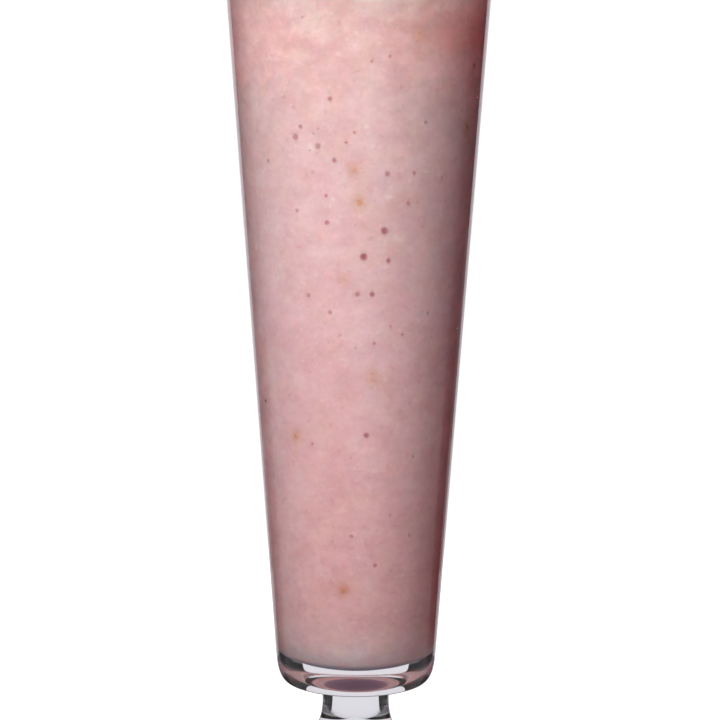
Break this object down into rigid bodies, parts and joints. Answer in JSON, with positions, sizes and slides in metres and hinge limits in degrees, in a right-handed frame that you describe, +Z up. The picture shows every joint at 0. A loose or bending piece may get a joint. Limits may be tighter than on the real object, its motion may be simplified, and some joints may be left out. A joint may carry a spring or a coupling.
{
  "type": "raspberry smoothie in a footed glass",
  "caption": "Thick pink raspberry smoothie that fills a tall, tapered, clear glass with a heavy heel, a short stem and a round foot.",
  "frame": {"origin": "middle of the foot's underside, on the table", "axes": "+Z up along the glass's own axis, from the foot to the rim; the glass is turned, so +X and +Y have no side of their own"},
  "size_m": [0.0748, 0.0748, 0.24],
  "materials": {
    "clear_glass": "clear, smooth and glossy",
    "smoothie": "thick milky pink drink, with fine bubbles and a few seeds"
  },
  "bodies": {
    "root": {"glass": "clear_glass", "smoothie": "smoothie"}
  },
  "joints": []
}
